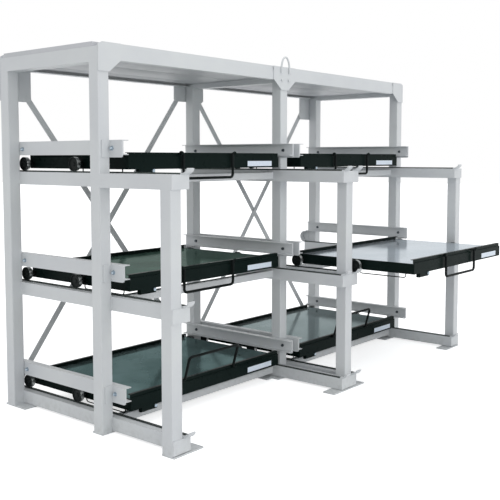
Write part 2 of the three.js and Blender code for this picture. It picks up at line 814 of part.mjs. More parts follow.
// Pull handle: a bail with its ends turned out into the lugs, hanging from its pivot line
function handleGeometry() {
  const halfSpan = handleSpan / 2;
  const corners = [
    new THREE.Vector3(-halfSpan - pinLength, 0, 0),
    new THREE.Vector3(-halfSpan, 0, 0),
    new THREE.Vector3(-halfSpan, 0, -handleLeg),
    new THREE.Vector3(halfSpan, 0, -handleLeg),
    new THREE.Vector3(halfSpan, 0, 0),
    new THREE.Vector3(halfSpan + pinLength, 0, 0)];
  const radii = [pinCorner, handleCorner, handleCorner, pinCorner];
  return bentBar(roundCorners(corners, radii, 3), handleBarRadius, 6);
}

const deckFrameShape = deckFrameGeometry();
const deckSheetShape = deckSheetGeometry();
const wheelSetShape = wheelSetGeometry();
const handleShape = handleGeometry();

// The right bay's middle deck is drawn out to its stop, and the bottom decks' handles are raised
const drawnOut = { bay: 'right', level: 2 };
const raisedHandleLevel = 1;

bayNames.forEach((name, bayIndex) => {
  for (let level = 1; level <= levelCount; level += 1) {
    const deck = new THREE.Group();
    const isOut = name === drawnOut.bay && level === drawnOut.level;
    const frontFace = -deckFrontProud - (isOut ? travel : deckRestPull);
    deck.position.set(bayFace(bayIndex, 1) + deckSideInset, frontFace, railBottom(level));
    rack.add(deck);
    place(deck, `deck_frame_${name}_${level}`, deckFrameShape, blackPaint);
    place(deck, `deck_sheet_${name}_${level}`, deckSheetShape, sheetSteel);
    const middleWheels = place(deck, `middle_wheels_${name}_${level}`, wheelSetShape, castIron);
    middleWheels.position.set(deckWidth / 2, middleAxleBack, axleHeight);
    const rearWheels = place(deck, `rear_wheels_${name}_${level}`, wheelSetShape, castIron);
    rearWheels.position.set(deckWidth / 2, rearAxleBack, axleHeight);
    const handle = place(deck, `handle_${name}_${level}`, handleShape, blackBar);
    handle.position.set(deckWidth / 2 + handleOffset, -pivotStandOff, pivotHeight);
    if (level === raisedHandleLevel) {
      handle.rotation.x = -raisedHandleAngle;
    }
  }
});

// The origin is on the floor, under the middle of the whole rack
rack.updateMatrixWorld(true);
const bounds = new THREE.Box3().setFromObject(rack, true);
rack.position.set(-(bounds.min.x + bounds.max.x) / 2, -(bounds.min.y + bounds.max.y) / 2, -bounds.min.z);
rack.updateMatrixWorld(true);

export default rack;
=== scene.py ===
"""Sliding storage rack: two bays of three wheeled decks that roll out on rails in welded side frames.
Metres, +Z up, front towards -Y. Each section makes one kind of piece, in the order of assembly."""
import json
import math

import bmesh
import bpy
from mathutils import Matrix, Vector


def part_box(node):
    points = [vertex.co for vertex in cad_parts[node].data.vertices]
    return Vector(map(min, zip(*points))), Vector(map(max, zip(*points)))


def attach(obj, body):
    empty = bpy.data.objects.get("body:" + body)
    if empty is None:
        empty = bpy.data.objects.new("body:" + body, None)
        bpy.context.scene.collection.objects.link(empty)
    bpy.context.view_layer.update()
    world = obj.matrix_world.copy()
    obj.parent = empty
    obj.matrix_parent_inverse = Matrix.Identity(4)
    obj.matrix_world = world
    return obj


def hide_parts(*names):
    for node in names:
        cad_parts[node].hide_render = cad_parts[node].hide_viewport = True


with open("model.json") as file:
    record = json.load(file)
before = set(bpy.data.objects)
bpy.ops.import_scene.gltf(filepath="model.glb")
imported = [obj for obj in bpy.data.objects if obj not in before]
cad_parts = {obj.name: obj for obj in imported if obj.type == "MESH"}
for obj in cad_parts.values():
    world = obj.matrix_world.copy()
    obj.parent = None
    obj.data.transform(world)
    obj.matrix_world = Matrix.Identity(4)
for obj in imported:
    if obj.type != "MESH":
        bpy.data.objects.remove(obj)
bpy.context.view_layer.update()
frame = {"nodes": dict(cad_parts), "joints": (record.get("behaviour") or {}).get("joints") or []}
nodes = frame["nodes"]

# Camera: at eye height to the front left of the rack, looking down a little. The lens is shifted
# down, so that the rack sits in the middle of the square picture.
camera_place = Vector((-4.4073, -3.3449, 1.502))
camera_heading = math.radians(50.36)
camera_dip = math.radians(4.41)
sensor_width = 36
focal_length = 58.35
lens_shift = -0.0587
camera = bpy.data.objects.new("camera", bpy.data.cameras.new("camera"))
bpy.context.scene.collection.objects.link(camera)
camera.location = camera_place
camera.rotation_euler = (math.pi / 2 - camera_dip, 0, -camera_heading)
camera.data.sensor_width = sensor_width
camera.data.lens = focal_length
camera.data.shift_y = lens_shift
bpy.context.scene.camera = camera

# Side frames: posts, rails and top rail of square and rectangular tube, welded up and sprayed with
# pale grey enamel. They come as they are from the frame drawing, and get here the beads of their welds
# and their paint, with a faint orange peel, slow patches of dust, and scuffs where shoes meet the feet.
post_width = 0.075
bay_width = 1.5
rack_depth = 0.89
extension_reach = 0.532
post_top = 2.09
top_rail_height = 0.08
rail_height = 0.075
first_rail = 0.012
level_pitch = 0.667
levels = (1, 2, 3)
extension_levels = (1, 2)
tie_setback = 0.025
bead_radius = 0.0022
rail_bead_inset = 0.003
top_bead_inset = 0.006
merge_distance = 0.00001
frame_pitch = bay_width + post_width
rack_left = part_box("side_frame_left")[0].x
post_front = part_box("front_tie_left_1")[0].y - tie_setback
post_rear = post_front + rack_depth
extension_front = post_front - extension_reach
frame_lefts = {
    "left": rack_left, "centre": rack_left + frame_pitch, "right": rack_left + 2 * frame_pitch}
bay_sides = {"left": (1,), "centre": (-1, 1), "right": (-1,)}


def rail_bottom(level):
    return first_rail + (level - 1) * level_pitch


def bay_face(name, side):
    return frame_lefts[name] + (post_width if side > 0 else 0)


def grain(tree, scale, detail=4.0, stretch=(1, 1, 1)):
    place = tree.nodes.new("ShaderNodeTexCoord")
    mapping = tree.nodes.new("ShaderNodeMapping")
    mapping.inputs["Scale"].default_value = stretch
    noise = tree.nodes.new("ShaderNodeTexNoise")
    noise.inputs["Scale"].default_value = scale
    noise.inputs["Detail"].default_value = detail
    tree.links.new(place.outputs["Object"], mapping.inputs["Vector"])
    tree.links.new(mapping.outputs["Vector"], noise.inputs["Vector"])
    return noise.outputs["Fac"]


def between(tree, value, low, high, first, last):
    ramp = tree.nodes.new("ShaderNodeMapRange")
    ramp.inputs["From Min"].default_value = low
    ramp.inputs["From Max"].default_value = high
    ramp.inputs["To Min"].default_value = first
    ramp.inputs["To Max"].default_value = last
    tree.links.new(value, ramp.inputs["Value"])
    return ramp.outputs["Result"]


def tint(tree, share, first, last):
    mix = tree.nodes.new("ShaderNodeMix")
    mix.data_type = "RGBA"
    for socket, colour in ((mix.inputs[6], first), (mix.inputs[7], last)):
        if isinstance(colour, tuple):
            socket.default_value = (*colour, 1)
        else:
            tree.links.new(colour, socket)
    tree.links.new(share, mix.inputs[0])
    return mix.outputs[2]


def multiply(tree, first, second):
    product = tree.nodes.new("ShaderNodeMath")
    product.operation = "MULTIPLY"
    tree.links.new(first, product.inputs[0])
    tree.links.new(second, product.inputs[1])
    return product.outputs[0]


def height_above_floor(tree):
    place = tree.nodes.new("ShaderNodeTexCoord")
    split = tree.nodes.new("ShaderNodeSeparateXYZ")
    tree.links.new(place.outputs["Object"], split.inputs["Vector"])
    return split.outputs["Z"]


def roughen(tree, shader, height, strength, distance):
    bump = tree.nodes.new("ShaderNodeBump")
    bump.inputs["Strength"].default_value = strength
    bump.inputs["Distance"].default_value = distance
    tree.links.new(height, bump.inputs["Height"])
    tree.links.new(bump.outputs["Normal"], shader.inputs["Normal"])


def new_finish(name):
    finish = bpy.data.materials.new(name)
    finish.use_nodes = True
    return finish, finish.node_tree, finish.node_tree.nodes["Principled BSDF"]


def enamel(name, clean, dusty, scuffed, scuff_height, gloss, sheen=0.4):
    finish, tree, shader = new_finish(name)
    dust = between(tree, grain(tree, scale=2.6), 0.38, 0.66, 0, 1)
    near_floor = between(tree, height_above_floor(tree), 0, scuff_height, 0.35, 0)
    marks = between(tree, grain(tree, scale=38, detail=6), 0.46, 0.66, 0, 1)
    colour = tint(tree, multiply(tree, near_floor, marks), tint(tree, dust, clean, dusty), scuffed)
    spray = between(tree, grain(tree, scale=22), 0.3, 0.7, gloss - 0.06, gloss + 0.08)
    tree.links.new(colour, shader.inputs["Base Color"])
    tree.links.new(spray, shader.inputs["Roughness"])
    shader.inputs["Specular IOR Level"].default_value = sheen
    roughen(tree, shader, grain(tree, scale=420, detail=2), strength=0.12, distance=0.0004)
    return finish


def give_finish(node, finish):
    nodes[node].data.materials.clear()
    nodes[node].data.materials.append(finish)


rack_enamel = enamel(
    "rack_enamel", clean=(0.640, 0.665, 0.675), dusty=(0.600, 0.622, 0.645),
    scuffed=(0.40, 0.41, 0.40), scuff_height=0.10, gloss=0.42)
for frame_name in frame_lefts:
    give_finish(f"side_frame_{frame_name}", rack_enamel)


def bead(bm, start, end):
    start, end = Vector(start), Vector(end)
    along = end - start
    turn = along.to_track_quat("Z", "Y").to_matrix().to_4x4()
    bmesh.ops.create_cone(
        bm, cap_ends=True, segments=8, radius1=bead_radius, radius2=bead_radius, depth=along.length,
        matrix=Matrix.Translation((start + end) / 2) @ turn)


def settle(bm, name, finish, body, sharp_angle=35, replaced=()):
    bmesh.ops.remove_doubles(bm, verts=bm.verts, dist=merge_distance)
    bmesh.ops.recalc_face_normals(bm, faces=bm.faces)
    mesh = bpy.data.meshes.new(name)
    bm.to_mesh(mesh)
    bm.free()
    for polygon in mesh.polygons:
        polygon.use_smooth = True
    mesh.set_sharp_from_angle(angle=math.radians(sharp_angle))
    for coat in finish if isinstance(finish, tuple) else (finish,):
        mesh.materials.append(coat)
    piece = bpy.data.objects.new(name, mesh)
    bpy.context.scene.collection.objects.link(piece)
    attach(piece, body)
    if replaced:
        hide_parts(*replaced)


post_corners = (post_front, post_front + post_width, post_rear - post_width, post_rear)
extension_corners = (extension_front, extension_front + post_width)
top_rail_bottom = post_top - top_rail_height
welds = bmesh.new()
for frame_name, left in frame_lefts.items():
    for side in bay_sides[frame_name]:
        face = bay_face(frame_name, side)
        for level in levels:
            low = rail_bottom(level) + rail_bead_inset
            high = rail_bottom(level) + rail_height - rail_bead_inset
            corners = post_corners + extension_corners if level in extension_levels else post_corners[1:]
            for y in corners:
                bead(welds, (face, y, low), (face, y, high))
    for y in post_corners[1:3]:
        bead(
            welds, (left + top_bead_inset, y, top_rail_bottom),
            (left + post_width - top_bead_inset, y, top_rail_bottom))
settle(welds, "frame_welds", rack_enamel, "rack")

# Track bars: flat bar of bright-rolled steel along the bay edge of every rail, on which the wheel
# treads run. Years of rolling keep its top dark and polished.
rail_width = 0.05
track_inset = 0.001
track_width = 0.012
track_seat = 0.0745
track_top = 0.08315
track_lap = 0.0003
track_edge = 0.0006
track_front_setback = 0.006
track_rear_overrun = 0.0055


def rolled_steel(name, dark, light, roughness):
    finish, tree, shader = new_finish(name)
    streaks = between(tree, grain(tree, scale=30, detail=5, stretch=(1, 0.12, 1)), 0.35, 0.65, 0, 1)
    wear = between(tree, grain(tree, scale=60), 0.3, 0.7, roughness - 0.08, roughness + 0.1)
    tree.links.new(tint(tree, streaks, dark, light), shader.inputs["Base Color"])
    tree.links.new(wear, shader.inputs["Roughness"])
    shader.inputs["Metallic"].default_value = 0.85
    return finish


def block(bm, low, high, edge=0.0, steps=1):
    low, high = Vector(low), Vector(high)
    place = Matrix.Translation((low + high) / 2) @ Matrix.Diagonal((*(high - low), 1))
    made = bmesh.ops.create_cube(bm, size=1, matrix=place)
    if edge:
        edges = list({line for corner in made["verts"] for line in corner.link_edges})
        bmesh.ops.bevel(
            bm, geom=edges, offset=edge, segments=steps, profile=0.5, affect="EDGES", material=-1)


track_steel = rolled_steel(
    "track_steel", dark=(0.035, 0.045, 0.042), light=(0.07, 0.085, 0.08), roughness=0.42)
tracks = bmesh.new()
for frame_name in frame_lefts:
    for side in bay_sides[frame_name]:
        face = bay_face(frame_name, side)
        inner = face + side * (rail_width - track_inset - track_width - track_lap)
        outer = face + side * (rail_width - track_inset + track_lap)
        for level in levels:
            low = rail_bottom(level)
            block(
                tracks,
                (min(inner, outer), extension_front + track_front_setback, low + track_seat),
                (max(inner, outer), post_rear + track_rear_overrun, low + track_top), track_edge)
settle(tracks, "track_bars", track_steel, "rack")

# Guides: cold-formed channels over the wheels, which keep a drawn-out deck from tipping. An angle
# carries each one round the front post; zinc-plated screws go through channel and angle or post, with
# dome nuts behind them.
guide_bottom = 0.173
guide_height = 0.08
guide_wall = 0.0048
angle_wall = 0.006
screw_drop = 0.004
front_screw_back = -0.026
rear_screw_back = 0.786
washer_wall = 0.0018
washer_edge = 0.0003
washer_sides = 28
nut_washer = 0.0125
nut_across = 0.019
nut_shoulder = 0.006
nut_edge = 0.0006
dome_share = 0.45
bolt_sharp_angle = 28
for frame_name in frame_lefts:
    for level in levels:
        give_finish(f"guide_{frame_name}_{level}", rack_enamel)


def zinc(name, base, shade):
    finish, tree, shader = new_finish(name)
    mottle = between(tree, grain(tree, scale=160, detail=3), 0.4, 0.6, 0, 1)
    tree.links.new(tint(tree, mottle, base, shade), shader.inputs["Base Color"])
    tree.links.new(between(tree, grain(tree, scale=90), 0.3, 0.7, 0.28, 0.42), shader.inputs["Roughness"])
    shader.inputs["Metallic"].default_value = 0.9
    return finish


def disc(bm, seat, outward, radius, thickness, sides=24, edge=0.0):
    seat, outward = Vector(seat), Vector(outward)
    turn = outward.to_track_quat("Z", "Y").to_matrix().to_4x4()
    made = bmesh.ops.create_cone(
        bm, cap_ends=True, segments=sides, radius1=radius, radius2=radius, depth=thickness,
        matrix=Matrix.Translation(seat + outward * thickness / 2) @ turn)
    if edge:
        far = seat + outward * thickness
        rim = {line for corner in made["verts"] for line in corner.link_edges
               if all(abs((end.co - far).dot(outward)) < thickness / 4 for end in line.verts)}
        bmesh.ops.bevel(
            bm, geom=list(rim), offset=edge, segments=2, profile=0.5, affect="EDGES", material=-1)


def hex_bolt(bm, seat, outward, across=0.017, height=0.008, washer=0.0105, edge=0.0009):
    seat, outward = Vector(seat), Vector(outward)
    disc(bm, seat, outward, washer, washer_wall, washer_sides, washer_edge)
    disc(bm, seat + outward * washer_wall, outward, across / math.sqrt(3), height, 6, edge)


def dome_nut(bm, seat, outward):
    seat, outward = Vector(seat), Vector(outward)
    hex_bolt(bm, seat, outward, nut_across, nut_shoulder, nut_washer, nut_edge)
    turn = outward.to_track_quat("Z", "Y").to_matrix().to_4x4()
    bmesh.ops.create_uvsphere(
        bm, u_segments=20, v_segments=10, radius=nut_across * dome_share,
        matrix=Matrix.Translation(seat + outward * (washer_wall + nut_shoulder)) @ turn)


bolt_zinc = zinc("bolt_zinc", base=(0.46, 0.54, 0.60), shade=(0.30, 0.37, 0.44))
# Partly painted shade: the screws inside the guides are dark grey, partly for their dark steel and partly
# for the shade that falls round their heads.
screw_dark_steel_and_shade = zinc("screw_dark_steel_and_shade", base=(0.10, 0.12, 0.13), shade=(0.05, 0.06, 0.07))
front_place = post_front + front_screw_back
rear_place = post_front + rear_screw_back
screws = bmesh.new()
nuts = bmesh.new()
for frame_name in frame_lefts:
    for side in bay_sides[frame_name]:
        face = bay_face(frame_name, side)
        web = face + side * guide_wall
        for level in levels:
            height = rail_bottom(level) + guide_bottom + guide_height / 2 - screw_drop
            hex_bolt(screws, (web, front_place, height), (side, 0, 0))
            hex_bolt(screws, (web, rear_place, height), (side, 0, 0))
            dome_nut(nuts, (face - side * angle_wall, front_place, height), (-side, 0, 0))
            dome_nut(nuts, (face, rear_place, height), (-side, 0, 0))
settle(screws, "guide_screws", screw_dark_steel_and_shade, "rack", bolt_sharp_angle)
settle(nuts, "guide_nuts", bolt_zinc, "rack", bolt_sharp_angle)

# Cheeks of the rear guards: plates cut to the inside of the curled guards of the upper levels, and
# welded in on the post side, so that no hand gets between wheel and post. Painted with the frames.
guard_sink = 0.003
guard_wall = 0.006
guard_tongue = 0.010
guard_gap = 0.0003
rail_overrun = 0.006
cheek_inset = 0.002
cheek_wall = 0.005
cheek_steps = 12
guard_top = guide_bottom - guard_gap
guard_bottom = rail_height - guard_sink
cheek_radius = (guard_top - guard_bottom) / 2 - guard_wall
curl_middle = post_rear + rail_overrun
cheeks = bmesh.new()
for frame_name in frame_lefts:
    for side in bay_sides[frame_name]:
        cheek_face = bay_face(frame_name, side) + side * cheek_inset
        for level in levels[1:]:
            middle = rail_bottom(level) + (guard_top + guard_bottom) / 2
            outline = [(curl_middle - guard_tongue, middle + cheek_radius)]
            for step in range(cheek_steps + 1):
                angle = math.pi / 2 - math.pi * step / cheek_steps
                outline.append((
                    curl_middle + cheek_radius * math.cos(angle), middle + cheek_radius * math.sin(angle)))
            outline.append((curl_middle - guard_tongue, middle - cheek_radius))
            plate = cheeks.faces.new([cheeks.verts.new((cheek_face, y, z)) for y, z in outline])
            pulled = bmesh.ops.extrude_face_region(cheeks, geom=[plate])
            moved = [made for made in pulled["geom"] if isinstance(made, bmesh.types.BMVert)]
            bmesh.ops.translate(cheeks, verts=moved, vec=(side * cheek_wall, 0, 0))
settle(cheeks, "guard_cheeks", rack_enamel, "rack")

# Top beams, gussets and lifting eyes: folded channels between the posts, with gusset plates bolted
# over them. A bent round bar on each centre gusset takes the crane hook. All are painted pale grey.
centre_gusset_out = 0.0071
gusset_bolt_across = 0.038
gusset_bolt_height = 2.026
eye_half_span = 0.0435
eye_radius = 0.0064
eye_stand = 0.0045
eye_leg_rise = 0.010
eye_leg_drop = 0.0203
eye_bow_height = 0.079
eye_steps = 24
bay_frames = {"left": ("left", "centre"), "right": ("centre", "right")}
rack_ends = {"front": (post_front, -1), "rear": (post_rear, 1)}
rack_middle = frame_lefts["centre"] + post_width / 2


def swept_bar(bm, points, radius, sides=16):
    path = [Vector(point) for point in points]
    ring = None
    for index, here in enumerate(path):
        arriving = (here - path[max(index - 1, 0)]).normalized()
        leaving = (path[min(index + 1, len(path) - 1)] - here).normalized()
        along = (arriving + leaving).normalized()
        if ring is None:
            turn = along.to_track_quat("Z", "Y").to_matrix().to_4x4()
            made = bmesh.ops.create_circle(
                bm, cap_ends=True, segments=sides, radius=radius, matrix=Matrix.Translation(here) @ turn)
            ring = made["verts"]
        else:
            face = [near for near in ring[0].link_faces if all(corner in ring for corner in near.verts)][0]
            made = bmesh.ops.extrude_face_region(bm, geom=[face])
            bmesh.ops.delete(bm, geom=[face], context="FACES_ONLY")
            ring = [new for new in made["geom"] if isinstance(new, bmesh.types.BMVert)]
            swing = last_along.rotation_difference(along).to_matrix()
            for corner in ring:
                corner.co = here + swing @ (corner.co - last_here)
        last_along, last_here = along, here


beam_bolts = bmesh.new()
for end_face, outward in rack_ends.values():
    for across in (-gusset_bolt_across, gusset_bolt_across):
        seat = (rack_middle + across, end_face + outward * centre_gusset_out, gusset_bolt_height)
        hex_bolt(beam_bolts, seat, (0, outward, 0))
settle(beam_bolts, "beam_bolts", rack_enamel, "rack", bolt_sharp_angle)

for end, (end_face, outward) in rack_ends.items():
    for bay_name in bay_frames:
        give_finish(f"{end}_beam_{bay_name}", rack_enamel)
    give_finish(f"{end}_centre_gusset", rack_enamel)
    eye_plane = end_face + outward * (centre_gusset_out + eye_stand)
    arch = [(rack_middle + eye_half_span, eye_plane, post_top - eye_leg_drop)]
    for step in range(eye_steps + 1):
        angle = math.pi * step / eye_steps
        arch.append((
            rack_middle + eye_half_span * math.cos(angle), eye_plane,
            post_top + eye_leg_rise + eye_bow_height * math.sin(angle)))
    arch.append((rack_middle - eye_half_span, eye_plane, post_top - eye_leg_drop))
    eye = bmesh.new()
    swept_bar(eye, arch, eye_radius)
    settle(eye, f"{end}_lifting_eye", rack_enamel, "rack")

# Top decks: trays of folded sheet over each bay, and below them three planks of folded sheet between
# the beams. Their paint is made a little darker as painted shade for the roof's rim and underside, and dark
# strips of painted shade fill the joints between the planks.
plank_bottom = 2.044
plank_proud = 0.0001
plank_edges = (0.0475, 0.396, 0.694, 0.8425)
plank_fold = 0.003
plank_gap = 0.001
joint_width = 0.009
joint_depth = 0.005
plank_top = post_top + plank_proud
# Painted shade: the tray paint is darker than the frames' paint, to stand for the shade on the roof's rim
# and underside.
tray_enamel_painted_shade = enamel(
    "tray_enamel_painted_shade", clean=(0.56, 0.57, 0.60), dusty=(0.51, 0.53, 0.55),
    scuffed=(0.40, 0.41, 0.40), scuff_height=0.10, gloss=0.45)
# Painted shade: dark strips set in the plank joints stand for the shadow in the gaps between the planks.
joint_painted_shade = enamel(
    "joint_painted_shade", clean=(0.050, 0.062, 0.045), dusty=(0.075, 0.090, 0.070),
    scuffed=(0.08, 0.08, 0.08), scuff_height=0.10, gloss=0.6, sheen=0.2)
for bay_name, (first, second) in bay_frames.items():
    give_finish(f"top_deck_{bay_name}", tray_enamel_painted_shade)
    near = bay_face(first, 1) + plank_gap
    far = bay_face(second, -1) - plank_gap
    planks = bmesh.new()
    for front_edge, back_edge in zip(plank_edges, plank_edges[1:]):
        block(
            planks, (near, post_front + front_edge + joint_width / 2, plank_bottom),
            (far, post_front + back_edge - joint_width / 2, plank_top), plank_fold, 2)
    settle(planks, f"roof_planks_{bay_name}", tray_enamel_painted_shade, "rack")
    joint_shade_strips = bmesh.new()
    for edge in plank_edges:
        block(
            joint_shade_strips, (near, post_front + edge - joint_width / 2, plank_bottom + joint_depth),
            (far, post_front + edge + joint_width / 2, plank_top))
    settle(joint_shade_strips, f"roof_joint_painted_shade_{bay_name}", joint_painted_shade, "rack")

# Cross braces: flat bar with a hole at each end, two to a bay, painted with the frames. Zinc-plated
# bolts hold them behind the posts, and a smaller one where they cross.
brace_foot_height = 0.068
brace_head_height = 2.046
brace_foot_reach = 0.021
brace_head_reach = 0.012
brace_out = {"rising": 0.0182, "falling": 0.0235}
end_bolt = {"across": 0.015, "height": 0.007, "washer": 0.009}
cross_bolt = {"across": 0.013, "height": 0.006, "washer": 0.008}
brace_bolts = bmesh.new()
for bay_name, (first, second) in bay_frames.items():
    near = bay_face(first, 1)
    far = bay_face(second, -1)
    ends = {
        "rising": (near - brace_foot_reach, far + brace_head_reach),
        "falling": (far + brace_foot_reach, near - brace_head_reach)}
    for kind, (foot, head) in ends.items():
        give_finish(f"brace_{kind}_{bay_name}", rack_enamel)
        brace_face = post_rear + brace_out[kind]
        hex_bolt(brace_bolts, (foot, brace_face, brace_foot_height), (0, 1, 0), **end_bolt)
        hex_bolt(brace_bolts, (head, brace_face, brace_head_height), (0, 1, 0), **end_bolt)
    crossing_height = (brace_foot_height + brace_head_height) / 2
    crossing = ((near + far) / 2, post_rear + brace_out["falling"], crossing_height)
    hex_bolt(brace_bolts, crossing, (0, 1, 0), **cross_bolt)
settle(brace_bolts, "brace_bolts", bolt_zinc, "rack", bolt_sharp_angle)

# Front ties: rectangular tube, cut square and welded between the rails of a bay at each level, a
# little behind the front of the posts. Painted with the frames.
for bay_name in bay_frames:
    for level in levels:
        give_finish(f"front_tie_{bay_name}_{level}", rack_enamel)

# Deck frames: folded black steel channels, welded, with a guide rod, two ears for the handle and a
# latch tab that a plated pin goes through. The enamel is glossy black with a green cast.
latch_pin_offset = 0.182
latch_pin_below = 0.075
latch_pin_radius = 0.0095
latch_pin_reach = 0.009
latch_pin_edge = 0.0018
sheet_setback = 0.0105
deck_enamel = enamel(
    "deck_enamel", clean=(0.0042, 0.0098, 0.0088), dusty=(0.0070, 0.0135, 0.0122),
    scuffed=(0.015, 0.018, 0.016), scuff_height=0.02, gloss=0.3, sheen=0.028)
deck_names = [f"{bay_name}_{level}" for bay_name in bay_frames for level in levels]
for deck in deck_names:
    give_finish(f"deck_frame_{deck}", deck_enamel)
    deck_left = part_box(f"deck_frame_{deck}")[0].x
    sheet_low, sheet_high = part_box(f"deck_sheet_{deck}")
    seat = (deck_left + latch_pin_offset, sheet_low.y - sheet_setback, sheet_high.z - latch_pin_below)
    pin = bmesh.new()
    disc(pin, seat, (0, -1, 0), latch_pin_radius, latch_pin_reach, sides=28, edge=latch_pin_edge)
    settle(pin, f"latch_pin_{deck}", bolt_zinc, f"deck_{deck}")

# Label cards: a blank card of pale blue plastic for each deck, for its owner to write on. It is glued
# to the right end of the deck's front.
card_width = 0.246
card_height = 0.033
card_from_right = 0.075
card_below_sheet = 0.057
card_proud = 0.0006
card_sink = 0.0002
card_edge = 0.0002
card_finish, card_tree, card_shader = new_finish("card")
card_mottle = between(card_tree, grain(card_tree, scale=90), 0.35, 0.65, 0, 1)
card_colour = tint(card_tree, card_mottle, (0.62, 0.70, 0.80), (0.70, 0.77, 0.85))
card_tree.links.new(card_colour, card_shader.inputs["Base Color"])
card_shader.inputs["Roughness"].default_value = 0.35
for deck in deck_names:
    sheet_low, sheet_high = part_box(f"deck_sheet_{deck}")
    front = sheet_low.y - sheet_setback
    card_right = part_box(f"deck_frame_{deck}")[1].x - card_from_right
    card_bottom = sheet_high.z - card_below_sheet
    card = bmesh.new()
    block(
        card, (card_right - card_width, front - card_proud, card_bottom),
        (card_right, front + card_sink, card_bottom + card_height), card_edge)
    settle(card, f"card_{deck}", card_finish, f"deck_{deck}")

# Deck sheets: cold-rolled plate laid in the frame and lightly oiled. Their tones are painted light and
# shade: the left bay's closed sheets are dark and greenish and the right bay's closed ones grey, for the
# shade they sit in, and the drawn-out deck's is pale and blue, for the light and reflections it catches.
streak_shade_share = 0.82


def deck_plate(name, clean, oiled, grazing, polish):
    finish, tree, shader = new_finish(name)
    rolling = between(tree, grain(tree, scale=4, detail=3, stretch=(0.2, 1, 1)), 0.35, 0.65, 0, 0.5)
    blotches = between(tree, grain(tree, scale=2.4), 0.42, 0.62, 0, 1)
    streaked = tint(tree, rolling, clean, tuple(level * streak_shade_share for level in clean))
    tree.links.new(tint(tree, blotches, streaked, oiled), shader.inputs["Base Color"])
    tree.links.new(between(tree, grain(tree, scale=3), 0.3, 0.7, 0.08, 0.17), shader.inputs["Roughness"])
    shader.inputs["Metallic"].default_value = polish
    shader.inputs["Specular IOR Level"].default_value = 0.0
    shader.inputs["Specular Tint"].default_value = (*grazing, 1)
    roughen(tree, shader, grain(tree, scale=3.5, detail=2), strength=0.03, distance=0.002)
    return finish


# Painted shade and light: each sheet's colour, grazing tint and polish stand for the shade or light on its
# deck. They do not show a difference in the steel.
dark_plate_painted_shade = deck_plate(
    "dark_plate_painted_shade", clean=(0.165, 0.235, 0.235), oiled=(0.090, 0.135, 0.132),
    grazing=(0.440, 0.510, 0.515), polish=0.58)
green_plate_painted_shade = deck_plate(
    "green_plate_painted_shade", clean=(0.085, 0.152, 0.124), oiled=(0.058, 0.108, 0.088),
    grazing=(0.380, 0.470, 0.435), polish=0.38)
grey_plate_painted_shade = deck_plate(
    "grey_plate_painted_shade", clean=(0.330, 0.385, 0.390), oiled=(0.245, 0.295, 0.295),
    grazing=(0.600, 0.660, 0.670), polish=0.72)
pale_plate_painted_light = deck_plate(
    "pale_plate_painted_light", clean=(0.560, 0.610, 0.660), oiled=(0.480, 0.540, 0.590),
    grazing=(0.860, 0.900, 0.930), polish=0.78)
plates = {
    "left_1": dark_plate_painted_shade, "left_2": green_plate_painted_shade, "left_3": green_plate_painted_shade,
    "right_1": grey_plate_painted_shade, "right_2": pale_plate_painted_light, "right_3": grey_plate_painted_shade}
for deck in deck_names:
    give_finish(f"deck_sheet_{deck}", plates[deck])

# Wheel sets: cast wheels with a ground tread, pressed on a through axle with spacer collars.
# The flanks and axle ends stay black from the foundry; the treads are bright.
wheel_radius = 0.0397
wheel_width = 0.028
axle_radius = 0.010
axle_end_radius = 0.0062
axle_end_chamfer = 0.0008
axle_end_inset = 0.0012
hub_radius = 0.012
hub_inset = 0.0018
rim_wall = 0.0055
rim_inset = 0.0003
rim_slope = 0.0012
web_depth = 0.006
casting_draft = 0.002
casting_round = 0.001
back_inset = 0.0001
back_recess = 0.0035
back_draft = 0.0015
collar_radius = 0.0150
collar_length = 0.0327
collar_fillet = 0.003
collar_chamfer = 0.0008
tread_lip = 0.0004
tread_shoulder = 0.0018
tread_chamfer = 0.0026
casting_black = enamel(
    "casting_black", clean=(0.006, 0.009, 0.009), dusty=(0.013, 0.016, 0.016),
    scuffed=(0.03, 0.03, 0.03), scuff_height=0.01, gloss=0.5, sheen=0.1)
tread_steel = rolled_steel("tread_steel", dark=(0.10, 0.11, 0.11), light=(0.34, 0.36, 0.36), roughness=0.3)


def turned_part(bm, profile, centre, side, steps=48):
    verts = [bm.verts.new((centre.x + side * along, centre.y, centre.z + radius))
             for radius, along in profile]
    edges = [bm.edges.new(pair) for pair in zip(verts, verts[1:])]
    bmesh.ops.spin(
        bm, geom=verts + edges, cent=centre, axis=(1, 0, 0), angle=2 * math.pi, steps=steps, use_merge=True)


def wheel_front(outer):
    return [
        (0.0, outer - axle_end_inset),
        (axle_end_radius, outer - axle_end_inset),
        (axle_end_radius + axle_end_chamfer, outer - hub_inset),
        (hub_radius - casting_round, outer - hub_inset),
        (hub_radius, outer - hub_inset - casting_round),
        (hub_radius + casting_draft, outer - web_depth),
        (wheel_radius - rim_wall - casting_draft, outer - web_depth),
        (wheel_radius - rim_wall, outer - rim_slope),
        (wheel_radius - rim_wall + casting_round, outer - rim_inset),
        (wheel_radius - tread_shoulder, outer - rim_inset),
        (wheel_radius - tread_lip, outer - tread_lip - casting_round)]


def wheel_back(inner):
    collar_end = inner - collar_length + back_inset
    return [
        (wheel_radius - tread_lip, inner + tread_lip + casting_round),
        (wheel_radius - tread_shoulder, inner + back_inset),
        (wheel_radius - rim_wall, inner + back_inset),
        (wheel_radius - rim_wall - back_draft, inner + back_recess),
        (collar_radius + collar_fillet, inner + back_recess),
        (collar_radius, inner + back_draft),
        (collar_radius, inner - collar_length + collar_chamfer),
        (collar_radius - collar_chamfer, collar_end),
        (axle_radius, collar_end),
        (axle_radius, 0.0)]


